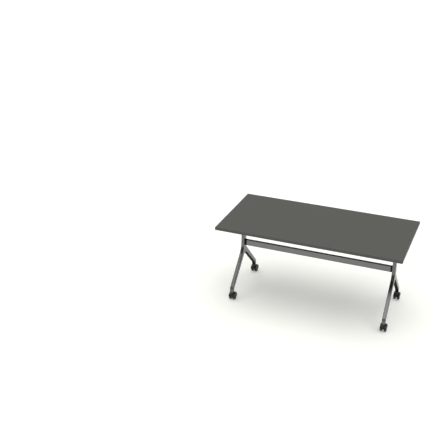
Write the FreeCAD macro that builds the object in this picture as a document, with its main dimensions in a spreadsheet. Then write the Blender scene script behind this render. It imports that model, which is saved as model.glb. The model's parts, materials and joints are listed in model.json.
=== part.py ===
"""Flip-top nesting desk on twin-wheel casters.

Frame: X along the desk, -Y towards the sitter, Z up, with the origin on the floor under the middle of the
top. Lengths are millimetres and angles are degrees.
"""
import FreeCAD
import Part
import Sketcher
import os

# Driving dimensions, one named cell each
SIZES = (
    # board and edging
    ("top_length", "1534"),
    ("top_depth", "762"),
    ("desk_height", "724"),
    ("top_thickness", "25"),
    ("band_thickness", "2"),
    ("band_rounding", "1.2"),
    # side frames
    ("side_overhang", "112"),
    ("leg_width", "28.5"),
    ("leg_center", "3"),
    ("post_ahead", "30"),
    ("post_behind", "24"),
    ("fork_height", "389"),
    ("bend_height", "383"),
    ("fork_bend", "130"),
    ("crotch_height", "352"),
    ("leg_reach", "273"),
    ("leg_end_depth", "34"),
    ("leg_bottom", "81"),
    ("ankle_height", "121"),
    ("ankle_slant", "14"),
    ("ankle_bend", "28"),
    ("ankle_inner_bend", "16"),
    ("leg_rounding", "4"),
    # black strips let into the legs' inner faces
    ("strip_foot_margin", "3"),
    ("strip_head_margin", "30"),
    ("channel_depth", "6"),
    ("channel_mouth", "4"),
    # stretcher beam and its end sockets
    ("beam_height", "53"),
    ("beam_depth", "25"),
    ("beam_level", "438"),
    ("beam_wall", "2"),
    ("beam_rounding", "4"),
    ("collar_width", "16"),
    ("plug_length", "45"),
    ("plug_clearance", "0.2"),
    ("plug_rib_slot", "4"),
    ("beam_bolt_radius", "3"),
    ("beam_bolt_spacing", "20"),
    ("beam_bolt_length", "58"),
    ("beam_bolt_head_radius", "5.5"),
    ("beam_bolt_head", "4"),
    # flip heads
    ("head_width", "24"),
    ("head_height", "52"),
    ("head_gap", "4"),
    ("head_rounding", "3"),
    ("arm_depth", "24"),
    ("gusset", "26"),
    ("nose_reach", "103"),
    ("nose_length", "12"),
    ("nose_drop", "16"),
    ("pocket_depth", "6"),
    ("pocket_margin", "6"),
    ("boss_radius", "9"),
    ("head_bolt_radius", "4"),
    ("head_bolt_spacing", "24"),
    ("head_bolt_length", "80"),
    ("head_bolt_head_radius", "6.5"),
    ("head_bolt_head", "8"),
    ("pad_radius", "7"),
    ("pad_front", "73"),
    ("pad_back", "46"),
    ("pad_clearance", "0.3"),
    # pivot
    ("pivot_back", "84"),
    ("pivot_drop", "14"),
    ("pin_radius", "4"),
    ("pin_head_radius", "7"),
    ("pin_head", "3"),
    ("pin_tail", "4"),
    ("bush_wall", "1"),
    ("bush_flange_radius", "8"),
    ("bush_flange", "1.2"),
    ("running_clearance", "0.05"),
    ("ear_clearance", "0.3"),
    ("stop_radius", "3"),
    ("stop_ahead", "20"),
    ("stop_rise", "5"),
    ("stop_clearance", "0.3"),
    # tilt plates
    ("plate_thickness", "3"),
    ("plate_width", "80"),
    ("plate_ahead", "236"),
    ("plate_behind", "40"),
    ("plate_corner", "10"),
    ("ear_thickness", "3"),
    ("ear_radius", "11"),
    ("rod_ear_radius", "10"),
    ("stiffener_depth", "8"),
    ("stiffener_back", "40"),
    ("finger_length", "26"),
    ("finger_depth", "8"),
    ("screw_radius", "2.2"),
    ("screw_grip", "15"),
    ("screw_head_radius", "4.5"),
    ("screw_head", "3"),
    ("screw_spread", "30"),
    ("screw_inset", "12"),
    # release rod, hooks and paddles
    ("rod_ahead", "198"),
    ("rod_drop", "15"),
    ("rod_radius", "5"),
    ("rod_overhang", "4"),
    ("hook_thickness", "12"),
    ("hook_ring", "9.5"),
    ("hook_gap", "2"),
    ("tooth_catch", "6"),
    ("tooth_gap", "0.5"),
    ("tooth_height", "10"),
    ("tooth_chamfer", "3"),
    ("release_angle", "18"),
    ("paddle_inset", "95"),
    ("paddle_width", "70"),
    ("paddle_length", "150"),
    ("paddle_thickness", "4"),
    ("paddle_ring", "8.5"),
    ("paddle_lip", "12"),
    ("paddle_corner", "8"),
    ("spring_wire", "2"),
    ("spring_turns", "3"),
    ("spring_groove", "0.6"),
    ("spring_clearance", "0.4"),
    # casters
    ("wheel_radius", "30"),
    ("wheel_width", "18"),
    ("wheel_spacing", "14"),
    ("tread_rounding", "4"),
    ("rim_width", "8"),
    ("dish_depth", "4"),
    ("wheel_hub", "9"),
    ("axle_radius", "4"),
    ("axle_clearance", "0.08"),
    ("axle_inset", "2"),
    ("trail", "18"),
    ("hood_clearance", "2.5"),
    ("hood_wall", "4"),
    ("hood_width", "52"),
    ("hood_start", "75"),
    ("hood_sweep", "182"),
    ("hood_boss", "10.5"),
    ("hood_top", "70"),
    ("web_thickness", "11"),
    ("web_hub", "13"),
    ("stem_radius", "5.5"),
    ("stem_seat", "13"),
    ("stem_collar", "3"),
    ("stem_collar_radius", "8"),
    ("stem_engagement", "34"),
    ("socket_wall", "2.5"),
    ("socket_flange", "2.5"),
    ("socket_flange_radius", "11"),
    ("socket_depth", "37"),
    ("pedal_offset", "5"),
    ("pedal_angle", "25"),
    ("pedal_barrel", "3.5"),
    ("pedal_length", "20"),
    ("pedal_width", "20"),
    ("pedal_thickness", "4"),
    ("pedal_rise", "-30"),
    ("trunnion_radius", "1.5"),
    ("trunnion_length", "3"),
    ("lug_radius", "5.5"),
    ("lug_thickness", "3.5"),
    ("lug_gap", "0.4"),
)

# Worked-out places, in the same frame
PLACES = (
    ("half_length", "=Sizes.top_length / 2"),
    ("half_depth", "=Sizes.top_depth / 2"),
    ("core_half_length", "=half_length - Sizes.band_thickness"),
    ("core_half_depth", "=half_depth - Sizes.band_thickness"),
    ("underside", "=Sizes.desk_height - Sizes.top_thickness"),
    ("half_span", "=half_length - Sizes.side_overhang"),
    ("post_front", "=Sizes.leg_center - Sizes.post_ahead"),
    ("post_back", "=Sizes.leg_center + Sizes.post_behind"),
    ("front_stem", "=Sizes.leg_center - Sizes.leg_reach"),
    ("rear_stem", "=Sizes.leg_center + Sizes.leg_reach"),
    ("front_toe", "=front_stem - Sizes.leg_end_depth / 2"),
    ("front_heel", "=front_stem + Sizes.leg_end_depth / 2"),
    ("rear_toe", "=rear_stem + Sizes.leg_end_depth / 2"),
    ("rear_heel", "=rear_stem - Sizes.leg_end_depth / 2"),
    ("ankle_inner", "=Sizes.ankle_height - Sizes.ankle_slant"),
    ("leg_run", "=Sizes.leg_center - front_heel"),
    ("leg_rise", "=Sizes.crotch_height - ankle_inner"),
    ("leg_slope", "=atan(leg_run / leg_rise)"),
    ("strip_foot", "=Sizes.leg_bottom + Sizes.strip_foot_margin"),
    ("strip_head", "=Sizes.crotch_height - Sizes.strip_head_margin"),
    ("strip_end", "=front_heel + leg_run * (strip_head - ankle_inner) / leg_rise"),
    ("mouth_line", "=front_heel + Sizes.channel_mouth"),
    ("mouth_bend", "=ankle_inner - Sizes.channel_mouth * tan(leg_slope / 2)"),
    ("mouth_end", "=strip_end + Sizes.channel_mouth * cos(leg_slope)"),
    ("mouth_head", "=strip_head - Sizes.channel_mouth * sin(leg_slope)"),
    ("floor_line", "=front_heel - Sizes.channel_depth"),
    ("floor_bend", "=ankle_inner + Sizes.channel_depth * tan(leg_slope / 2)"),
    ("floor_end", "=strip_end - Sizes.channel_depth * cos(leg_slope)"),
    ("floor_head", "=strip_head + Sizes.channel_depth * sin(leg_slope)"),
    ("channel_width", "=Sizes.leg_width + 2 * Sizes.channel_mouth"),
    ("column_inside", "=half_span - Sizes.leg_width / 2"),
    ("column_outside", "=half_span + Sizes.leg_width / 2"),
    ("beam_end", "=column_inside - Sizes.collar_width"),
    ("beam_length", "=2 * beam_end"),
    ("half_beam_depth", "=Sizes.beam_depth / 2"),
    ("half_beam_height", "=Sizes.beam_height / 2"),
    ("beam_hollow_depth", "=half_beam_depth - Sizes.beam_wall"),
    ("beam_hollow_height", "=half_beam_height - Sizes.beam_wall"),
    ("plug_half_depth", "=beam_hollow_depth - Sizes.plug_clearance"),
    ("plug_half_height", "=beam_hollow_height - Sizes.plug_clearance"),
    ("plug_inner", "=beam_end - Sizes.plug_length"),
    ("slot_front", "=Sizes.leg_center - half_beam_depth"),
    ("slot_back", "=Sizes.leg_center + half_beam_depth"),
    ("slot_bottom", "=Sizes.beam_level - Sizes.plug_rib_slot / 2"),
    ("slot_top", "=Sizes.beam_level + Sizes.plug_rib_slot / 2"),
    ("plate_under", "=underside - Sizes.plate_thickness"),
    ("pivot_level", "=underside - Sizes.pivot_drop"),
    ("head_top", "=plate_under - Sizes.head_gap"),
    ("post_top", "=head_top - Sizes.head_height"),
    ("arm_bottom", "=head_top - Sizes.arm_depth"),
    ("nose_bottom", "=arm_bottom - Sizes.nose_drop"),
    ("nose_front", "=Sizes.leg_center - Sizes.nose_reach"),
    ("nose_back", "=nose_front + Sizes.nose_length"),
    ("gusset_front", "=post_front - Sizes.gusset"),
    ("boss_bottom", "=pivot_level - Sizes.boss_radius"),
    ("pocket_top", "=head_top - Sizes.pocket_margin"),
    ("pocket_bottom", "=arm_bottom + Sizes.pocket_margin"),
    ("front_pocket_start", "=nose_back + Sizes.pocket_margin"),
    ("front_pocket_end", "=post_front - Sizes.pocket_margin"),
    ("rear_pocket_start", "=post_back + Sizes.pocket_margin"),
    ("rear_pocket_end", "=Sizes.pivot_back - Sizes.boss_radius - Sizes.pocket_margin"),
    ("ear_inside", "=Sizes.head_width / 2 + Sizes.bush_flange + Sizes.ear_clearance"),
    ("ear_outside", "=ear_inside + Sizes.ear_thickness"),
    ("stop_length", "=2 * ear_outside"),
    ("stop_line", "=Sizes.pivot_back - Sizes.stop_ahead"),
    ("stop_level", "=pivot_level + Sizes.stop_rise"),
    ("stop_toe", "=Sizes.stop_rise - Sizes.stop_radius - Sizes.stop_clearance"),
    ("finger_front", "=Sizes.pivot_back - stop_toe"),
    ("finger_back", "=Sizes.pivot_back + Sizes.finger_depth"),
    ("finger_tip", "=pivot_level - Sizes.finger_length"),
    ("stiffener_bottom", "=plate_under - Sizes.stiffener_depth"),
    ("pivot_ear_front", "=Sizes.pivot_back - Sizes.ear_radius"),
    ("pivot_ear_back", "=Sizes.pivot_back + Sizes.ear_radius"),
    ("plate_front", "=Sizes.pivot_back - Sizes.plate_ahead"),
    ("plate_end", "=Sizes.pivot_back + Sizes.plate_behind"),
    ("half_plate", "=Sizes.plate_width / 2"),
    ("rod_line", "=Sizes.pivot_back - Sizes.rod_ahead"),
    ("rod_level", "=underside - Sizes.rod_drop"),
    ("rod_end", "=half_span + ear_outside + Sizes.rod_overhang"),
    ("rod_length", "=2 * rod_end"),
    ("rod_bore_radius", "=Sizes.rod_radius + Sizes.running_clearance"),
    ("rod_ear_front", "=rod_line - Sizes.rod_ear_radius"),
    ("rod_ear_back", "=rod_line + Sizes.rod_ear_radius"),
    ("half_hook", "=Sizes.hook_thickness / 2"),
    ("half_paddle", "=Sizes.paddle_width / 2"),
    ("coil_bore", "=Sizes.rod_radius + Sizes.spring_clearance"),
    ("coil_crest", "=coil_bore + Sizes.spring_wire"),
    ("coil_valley", "=coil_crest - Sizes.spring_groove"),
    ("crest_end", "=Sizes.spring_wire - Sizes.spring_groove"),
    ("tooth_tip", "=nose_front + Sizes.tooth_catch - rod_line"),
    ("tooth_top", "=nose_bottom - Sizes.tooth_gap - rod_level"),
    ("hook_sole", "=tooth_top - Sizes.tooth_height"),
    ("hook_face", "=nose_front - Sizes.hook_gap - rod_line"),
    ("hook_toe", "=tooth_tip - Sizes.tooth_chamfer"),
    ("tooth_edge", "=hook_sole + Sizes.tooth_chamfer"),
    ("hook_shin", "=-Sizes.hook_ring + Sizes.tooth_chamfer"),
    ("paddle_top", "=Sizes.paddle_ring"),
    ("paddle_under", "=Sizes.paddle_ring - Sizes.paddle_thickness"),
    ("paddle_crook", "=-Sizes.paddle_length + Sizes.paddle_lip"),
    ("paddle_tip", "=-Sizes.paddle_length"),
    ("paddle_tip_top", "=paddle_top - Sizes.paddle_lip / 2"),
    ("paddle_tip_under", "=paddle_under - Sizes.paddle_lip / 2"),
    ("wheel_bore", "=Sizes.axle_radius + Sizes.axle_clearance"),
    ("tread_edge", "=Sizes.wheel_radius - Sizes.tread_rounding"),
    ("rim_edge", "=Sizes.wheel_radius - Sizes.rim_width"),
    ("dish_edge", "=rim_edge - Sizes.dish_depth / 2"),
    ("tread_shoulder", "=Sizes.wheel_width - Sizes.tread_rounding"),
    ("dish_floor", "=Sizes.wheel_width - Sizes.dish_depth"),
    ("hub_face", "=Sizes.wheel_width - Sizes.axle_inset / 2"),
    ("wheel_inside", "=Sizes.wheel_spacing / 2"),
    ("axle_half", "=wheel_inside + Sizes.wheel_width - Sizes.axle_inset"),
    ("axle_length", "=2 * axle_half"),
    ("wheel_space", "=Sizes.wheel_radius + Sizes.hood_clearance"),
    ("half_hood", "=Sizes.hood_width / 2"),
    ("boss_height", "=Sizes.hood_top - Sizes.wheel_radius"),
    ("hood_outside", "=wheel_space + Sizes.hood_wall"),
    ("half_web", "=Sizes.web_thickness / 2"),
    ("stem_foot", "=Sizes.hood_top - Sizes.stem_seat"),
    ("stem_collar_top", "=Sizes.hood_top + Sizes.stem_collar"),
    ("stem_end", "=Sizes.leg_bottom + Sizes.stem_engagement"),
    ("socket_bore", "=Sizes.stem_radius + Sizes.running_clearance"),
    ("socket_outside", "=socket_bore + Sizes.socket_wall"),
    ("socket_seat", "=Sizes.leg_bottom - Sizes.socket_flange"),
    ("socket_end", "=Sizes.leg_bottom + Sizes.socket_depth"),
    ("pedal_radius", "=hood_outside + Sizes.pedal_offset"),
    ("pedal_line", "=Sizes.trail + pedal_radius * cos(Sizes.pedal_angle * 1deg)"),
    ("pedal_level", "=Sizes.wheel_radius + pedal_radius * sin(Sizes.pedal_angle * 1deg)"),
    ("half_pedal", "=Sizes.pedal_width / 2"),
    ("lug_inside", "=half_pedal + Sizes.lug_gap"),
    ("pedal_hole_radius", "=Sizes.trunnion_radius + Sizes.running_clearance"),
    ("trunnion_end", "=half_pedal + Sizes.trunnion_length"),
    ("trunnion_span", "=2 * trunnion_end"),
    ("screw_end", "=Sizes.plate_thickness + Sizes.screw_grip"),
    ("bush_outside", "=Sizes.pin_radius + Sizes.running_clearance + Sizes.bush_wall"),
    ("bush_bore", "=Sizes.pin_radius + Sizes.running_clearance"),
    ("half_head", "=Sizes.head_width / 2"),
    ("bush_end", "=half_head + Sizes.bush_flange"),
    ("bush_start", "=half_head / 3"),
    ("pin_end", "=ear_outside + Sizes.pin_tail"),
    ("pin_crown", "=ear_outside + Sizes.pin_head"),
    ("pad_height", "=Sizes.head_gap - Sizes.pad_clearance"),
)

SIZE_NAMES = [alias for alias, text in SIZES]
SIDES = (("left", -1), ("right", 1))
ENDS = (("front", "front_stem"), ("rear", "rear_stem"))
X_AXIS = FreeCAD.Vector(1, 0, 0)
Y_AXIS = FreeCAD.Vector(0, 1, 0)
Z_AXIS = FreeCAD.Vector(0, 0, 1)
NO_TURN = FreeCAD.Rotation()
ALONG_X = FreeCAD.Rotation(Y_AXIS, 90)
AGAINST_X = FreeCAD.Rotation(Y_AXIS, -90)
HALF_TURN = FreeCAD.Rotation(Z_AXIS, 180)
TOUCH = 1e-4

doc = FreeCAD.newDocument("flip_top_desk")
nodes = []


def fill_sheet(name, rows):
    """Spreadsheet with one aliased cell per row."""
    sheet = doc.addObject("Spreadsheet::Sheet", name)
    for row, (alias, text) in enumerate(rows, start=1):
        sheet.set("A%d" % row, alias)
        sheet.set("B%d" % row, text)
        sheet.setAlias("B%d" % row, alias)
    doc.recompute()
    return sheet


sizes = fill_sheet("Sizes", SIZES)
places = fill_sheet("Places", PLACES)


def number(name):
    """Value of a named size or place, negated by a leading minus."""
    if name.startswith("-"):
        return -number(name[1:])
    sheet = sizes if name in SIZE_NAMES else places
    return float(sheet.get(name))


def cell(name):
    """Expression that reads a named size or place."""
    if name.startswith("-"):
        return "-" + cell(name[1:])
    return ("Sizes." if name in SIZE_NAMES else "Places.") + name


def node(thing, label):
    """Name a finished sub-part, which gets a file of its own."""
    thing.Label = label
    nodes.append(thing)
    return thing


def put(thing, x="", y="", z="", turn=NO_TURN):
    """Place an object at named coordinates, turned as given."""
    thing.Placement = FreeCAD.Placement(FreeCAD.Vector(), turn)
    for axis, name in (("x", x), ("y", y), ("z", z)):
        if name:
            thing.setExpression("Placement.Base." + axis, cell(name))
    return thing


def signed(side, name):
    """A named value, negated on the left side."""
    return name if side > 0 else "-" + name


def hold(sketch, kind, corner, name):
    """Fix one coordinate of a sketch corner to a named value; an empty name means the axis."""
    if not name:
        axis = -2 if kind == "DistanceX" else -1
        sketch.addConstraint(Sketcher.Constraint("PointOnObject", corner, 1, axis))
        return
    row = sketch.addConstraint(Sketcher.Constraint(kind, -1, 1, corner, 1, number(name)))
    sketch.setExpression("Constraints[%d]" % row, cell(name))


def outline(body, role, *loops):
    """Sketch of closed polygons on an origin plane, every corner held by named values."""
    plane = next(item for item in body.Origin.OriginFeatures if item.Role == role)
    sketch = body.newObject("Sketcher::SketchObject", body.Name + "_outline")
    sketch.AttachmentSupport = [(plane, "")]
    sketch.MapMode = "FlatFace"
    first = 0
    for points in loops:
        spots = [[number(name) if name else 0.0 for name in point] for point in points]
        corners = [FreeCAD.Vector(across, up, 0) for across, up in spots]
        for start, end in zip(corners, corners[1:] + corners[:1]):
            sketch.addGeometry(Part.LineSegment(start, end))
        last = first + len(points) - 1
        for corner, (across, up) in enumerate(points, start=first):
            before = corner - 1 if corner > first else last
            sketch.addConstraint(Sketcher.Constraint("Coincident", before, 2, corner, 1))
            hold(sketch, "DistanceX", corner, across)
            hold(sketch, "DistanceY", corner, up)
        first = last + 1
    return sketch


def padded(name, role, length, *loops, centred=True):
    """Body made by padding an outline to a named length."""
    body = doc.addObject("PartDesign::Body", name)
    pad = body.newObject("PartDesign::Pad", name + "_pad")
    pad.Profile = outline(body, role, *loops)
    pad.setExpression("Length", cell(length))
    if centred:
        pad.SideType = "Symmetric"
    doc.recompute()
    return body


def spun(name, points):
    """Body turned about Z from named (radius, height) corners."""
    body = doc.addObject("PartDesign::Body", name)
    turned = body.newObject("PartDesign::Revolution", name + "_turned")
    sketch = outline(body, "XZ_Plane", points)
    turned.Profile = sketch
    turned.ReferenceAxis = (sketch, ["V_Axis"])
    turned.Angle = 360
    doc.recompute()
    return body


def soften(body, radius, wanted):
    """Fillet those edges of a body that the test picks, to a named radius."""
    base = body.Tip
    names = ["Edge%d" % row for row, edge in enumerate(base.Shape.Edges, start=1) if wanted(edge)]
    fillet = body.newObject("PartDesign::Fillet", body.Name + "_" + radius)
    fillet.Base = (base, names)
    fillet.setExpression("Radius", cell(radius))
    doc.recompute()


def runs_along(edge, axis):
    """True for a straight edge parallel to an axis."""
    if len(edge.Vertexes) != 2:
        return False
    span = edge.Vertexes[1].Point - edge.Vertexes[0].Point
    return span.cross(axis).Length < TOUCH and abs(edge.Length - span.Length) < TOUCH


def at_corner(edge, across, up):
    """True for an edge along X that passes through a named (y, z) corner."""
    spot = edge.Vertexes[0].Point
    near = abs(spot.y - number(across)) < TOUCH and abs(spot.z - number(up)) < TOUCH
    return near and runs_along(edge, X_AXIS)


def cylinder(name, radius, length, x="", y="", z="", turn=NO_TURN):
    """Cylinder of a named radius and length, from a named place along its own turned Z."""
    thing = doc.addObject("Part::Cylinder", name)
    thing.setExpression("Radius", cell(radius))
    thing.setExpression("Height", cell(length))
    return put(thing, x, y, z, turn)


def box(name, low, high):
    """Box between two named corners."""
    thing = doc.addObject("Part::Box", name)
    for side, start, end in zip(("Length", "Width", "Height"), low, high):
        thing.setExpression(side, "%s - (%s)" % (cell(end), cell(start)))
    return put(thing, *low)


def joined(name, *pieces):
    """One solid fused from several."""
    thing = doc.addObject("Part::MultiFuse", name)
    thing.Shapes = list(pieces)
    thing.Refine = True
    return thing


def cut(name, base, *tools):
    """A base with tools taken away."""
    thing = doc.addObject("Part::Cut", name)
    thing.Base = base
    thing.Tool = tools[0] if len(tools) == 1 else joined(name + "_tools", *tools)
    return thing


def shared(name, first, second):
    """The solid that two have in common."""
    thing = doc.addObject("Part::Common", name)
    thing.Base = first
    thing.Tool = second
    return thing


def copies(name, source, spots):
    """Group of separate copies of one solid at (x, y, z, turn) spots."""
    links = []
    for row, (x, y, z, turn) in enumerate(spots, start=1):
        link = doc.addObject("App::Link", "%s_%d" % (name, row))
        link.LinkedObject = source
        link.Placement = FreeCAD.Placement(FreeCAD.Vector(x, y, z), turn)
        links.append(link)
    group = doc.addObject("Part::Compound", name)
    group.Links = links
    return group


def copy(name, source, spot):
    """One copy of a solid at an (x, y, z, turn) spot."""
    return copies(name, source, [spot])


def bolt_profile(radius, length, head_radius, head):
    """Corners of a bolt that hangs down from the top of its head."""
    return (
        ("", ""), (head_radius, ""), (head_radius, "-" + head), (radius, "-" + head),
        (radius, "-" + length), ("", "-" + length),
    )


def screw_spots():
    """Places of the plate screws on the underside of the plates."""
    rows = (
        number("plate_front") + number("screw_inset"),
        (number("plate_front") + number("plate_end")) / 2,
        number("plate_end") - number("screw_inset"),
    )
    spots = []
    for label, side in SIDES:
        for across in (-1, 1):
            x = side * number("half_span") + across * number("screw_spread")
            spots += [(x, y, number("plate_under"), NO_TURN) for y in rows]
    return spots


def board():
    """Laminated board with pilot holes for the plate screws."""
    length, depth = "core_half_length", "core_half_depth"
    core = padded("core", "XY_Plane", "top_thickness", (
        ("-" + length, "-" + depth), (length, "-" + depth), (length, depth), ("-" + length, depth),
    ), centred=False)
    put(core, z="underside")
    pilot = cylinder("pilot", "screw_radius", "screw_end")
    return node(cut("board", core, copies("pilots", pilot, screw_spots())), "top_panel")


def band(label, low, high, outward):
    """One strip of edging with its two outer edges eased; outward is the direction that it faces."""
    strip = padded(label + "_strip", "XY_Plane", "top_thickness", (
        low, (high[0], low[1]), high, (low[0], high[1]),
    ), centred=False)
    middle = strip.Shape.BoundBox.Center
    soften(strip, "band_rounding", lambda edge: runs_along(edge, outward.cross(Z_AXIS))
           and outward.dot(edge.CenterOfMass - middle) > TOUCH)
    return node(put(strip, z="underside"), label)


def edging():
    """Four strips: the long ones cover the ends of the short ones."""
    long_side, deep, core_deep = "half_length", "half_depth", "core_half_depth"
    core_long = "core_half_length"
    band("front_edge_band", ("-" + long_side, "-" + deep), (long_side, "-" + core_deep), -Y_AXIS)
    band("rear_edge_band", ("-" + long_side, core_deep), (long_side, deep), Y_AXIS)
    band("left_edge_band", ("-" + long_side, "-" + core_deep), ("-" + core_long, core_deep), -X_AXIS)
    band("right_edge_band", (core_long, "-" + core_deep), (long_side, core_deep), X_AXIS)


def leg_edge(edge, ends):
    """True for the outline edges of a leg's flat sides, apart from those at its cut ends."""
    spot = edge.CenterOfMass
    half = number("leg_width") / 2
    flat = all(abs(abs(corner.X) - half) < TOUCH for corner in edge.Vertexes)
    return flat and abs(abs(spot.x) - half) < TOUCH and not any(on_line(spot, *end) for end in ends)


def on_line(spot, start, end):
    """True where a point is the middle of the line between two named (y, z) corners."""
    y = (number(start[0]) + number(end[0])) / 2
    z = (number(start[1]) + number(end[1])) / 2
    return abs(spot.y - y) < TOUCH and abs(spot.z - z) < TOUCH


FORK_JOINT = (("leg_center", "crotch_height"), ("post_back", "fork_height"))


def column_blank():
    """Post and front leg in one bent, tapered piece."""
    sole = (("front_toe", "leg_bottom"), ("front_heel", "leg_bottom"))
    crown = (("post_back", "post_top"), ("post_front", "post_top"))
    body = padded("column", "YZ_Plane", "leg_width", (
        crown[1], ("post_front", "bend_height"), ("front_toe", "ankle_height"), *sole,
        ("front_heel", "ankle_inner"), *FORK_JOINT, crown[0],
    ))
    soften(body, "fork_bend", lambda edge: at_corner(edge, "post_front", "bend_height"))
    soften(body, "ankle_bend", lambda edge: at_corner(edge, "front_toe", "ankle_height"))
    soften(body, "ankle_inner_bend", lambda edge: at_corner(edge, "front_heel", "ankle_inner"))
    soften(body, "leg_rounding", lambda edge: leg_edge(edge, (sole, crown, FORK_JOINT)))
    return body


def rear_leg_blank():
    """Rear leg, tapered and bent upright at its end."""
    sole = (("rear_heel", "leg_bottom"), ("rear_toe", "leg_bottom"))
    body = padded("rear_leg", "YZ_Plane", "leg_width", (
        *FORK_JOINT, ("rear_toe", "ankle_height"), sole[1], sole[0], ("rear_heel", "ankle_inner"),
    ))
    soften(body, "ankle_bend", lambda edge: at_corner(edge, "rear_toe", "ankle_height"))
    soften(body, "ankle_inner_bend", lambda edge: at_corner(edge, "rear_heel", "ankle_inner"))
    soften(body, "leg_rounding", lambda edge: leg_edge(edge, (sole, FORK_JOINT)))
    return body


def strip_channel():
    """Space that the front leg's strip takes up, along the inner face from the foot to below the fork."""
    body = padded("channel", "YZ_Plane", "channel_width", (
        ("mouth_line", "strip_foot"), ("mouth_line", "mouth_bend"), ("mouth_end", "mouth_head"),
        ("floor_end", "floor_head"), ("floor_line", "floor_bend"), ("floor_line", "strip_foot"),
    ))
    soften(body, "ankle_inner_bend", lambda edge: at_corner(edge, "floor_line", "floor_bend"))
    return body


def beam_bolt_spots(side):
    """Places of the two bolts through one column, heads flush with its outer face."""
    turn = ALONG_X if side > 0 else AGAINST_X
    x = side * number("column_outside")
    step = number("beam_bolt_spacing") / 2
    return [(x, number("leg_center"), number("beam_level") + rise, turn) for rise in (-step, step)]


def head_bolt_spots(side):
    """Places of the two bolts down through one flip head, heads flush with its top."""
    step = number("head_bolt_spacing") / 2
    x = side * number("half_span")
    return [(x, number("leg_center") + shift, number("head_top"), NO_TURN) for shift in (-step, step)]


def legs_and_bolts():
    """Columns and rear legs with their bores and strips, and the bolts that go through them."""
    beam_bolt = spun("beam_bolt", bolt_profile(
        "beam_bolt_radius", "beam_bolt_length", "beam_bolt_head_radius", "beam_bolt_head"))
    head_bolt = spun("head_bolt", bolt_profile(
        "head_bolt_radius", "head_bolt_length", "head_bolt_head_radius", "head_bolt_head"))
    column = column_blank()
    rear_leg = rear_leg_blank()
    channel = strip_channel()
    for label, side in SIDES:
        x = signed(side, "half_span")
        middle = side * number("half_span")
        spot = (middle, 0, 0, NO_TURN)
        turned = (middle, 2 * number("leg_center"), 0, HALF_TURN)
        bores = {}
        for end, stem in ENDS:
            name = "%s_%s_bore" % (end, label)
            bores[end] = cylinder(name, "socket_outside", "socket_depth", x, stem, "leg_bottom")
        bolts = copies(label + "_beam_bolt_holes", beam_bolt, beam_bolt_spots(side))
        deep_bolts = copies(label + "_head_bolt_holes", head_bolt, head_bolt_spots(side))
        post = copy(label + "_column_blank", column, spot)
        groove = copy(label + "_front_groove", channel, spot)
        node(cut(label + "_column_cut", post, bores["front"], bolts, deep_bolts, groove), label + "_column")
        back = copy(label + "_rear_leg_blank", rear_leg, spot)
        rear_groove = copy(label + "_rear_groove", channel, turned)
        node(cut(label + "_rear_leg_cut", back, bores["rear"], rear_groove), label + "_rear_leg")
        front_strip = shared(label + "_front_strip", post, groove)
        rear_strip = shared(label + "_rear_strip", back, rear_groove)
        strips = doc.addObject("Part::Compound", label + "_strips")
        strips.Links = [front_strip, rear_strip]
        node(strips, label + "_leg_strips")
    node(copies("beam_bolt_group", beam_bolt, beam_bolt_spots(-1) + beam_bolt_spots(1)), "beam_bolts")
    node(copies("head_bolt_group", head_bolt, head_bolt_spots(-1) + head_bolt_spots(1)), "head_bolts")
    return beam_bolt, head_bolt


def rectangle(across, up):
    """Corners of a rectangle about the sketch origin."""
    return (("-" + across, "-" + up), (across, "-" + up), (across, up), ("-" + across, up))


def beam(beam_bolt):
    """Rectangular tube with a black socket plugged into each end."""
    section = rectangle("half_beam_depth", "half_beam_height")
    hollow = rectangle("beam_hollow_depth", "beam_hollow_height")
    tube = padded("tube", "YZ_Plane", "beam_length", section, hollow)
    outer = number("half_beam_depth")
    soften(tube, "beam_rounding", lambda edge: runs_along(edge, X_AXIS)
           and abs(abs(edge.CenterOfMass.y) - outer) < TOUCH)
    node(put(tube, y="leg_center", z="beam_level"), "stretcher_beam")
    for label, side in SIDES:
        collar = padded(label + "_collar", "YZ_Plane", "collar_width", section, centred=False)
        soften(collar, "beam_rounding", lambda edge: runs_along(edge, X_AXIS))
        plug = padded(label + "_plug", "YZ_Plane", "plug_length",
                      rectangle("plug_half_depth", "plug_half_height"), centred=False)
        put(collar, "beam_end" if side > 0 else "-column_inside", "leg_center", "beam_level")
        plug_start, plug_stop = ("plug_inner", "beam_end") if side > 0 else ("-beam_end", "-plug_inner")
        put(plug, plug_start, "leg_center", "beam_level")
        slot = box(label + "_slot", (plug_start, "slot_front", "slot_bottom"),
                   (plug_stop, "slot_back", "slot_top"))
        slotted = cut(label + "_slotted_plug", plug, slot)
        whole = joined(label + "_whole_socket", collar, slotted)
        holes = copies(label + "_socket_holes", beam_bolt, beam_bolt_spots(side))
        node(cut(label + "_socket_cut", whole, holes), label + "_beam_socket")


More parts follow.
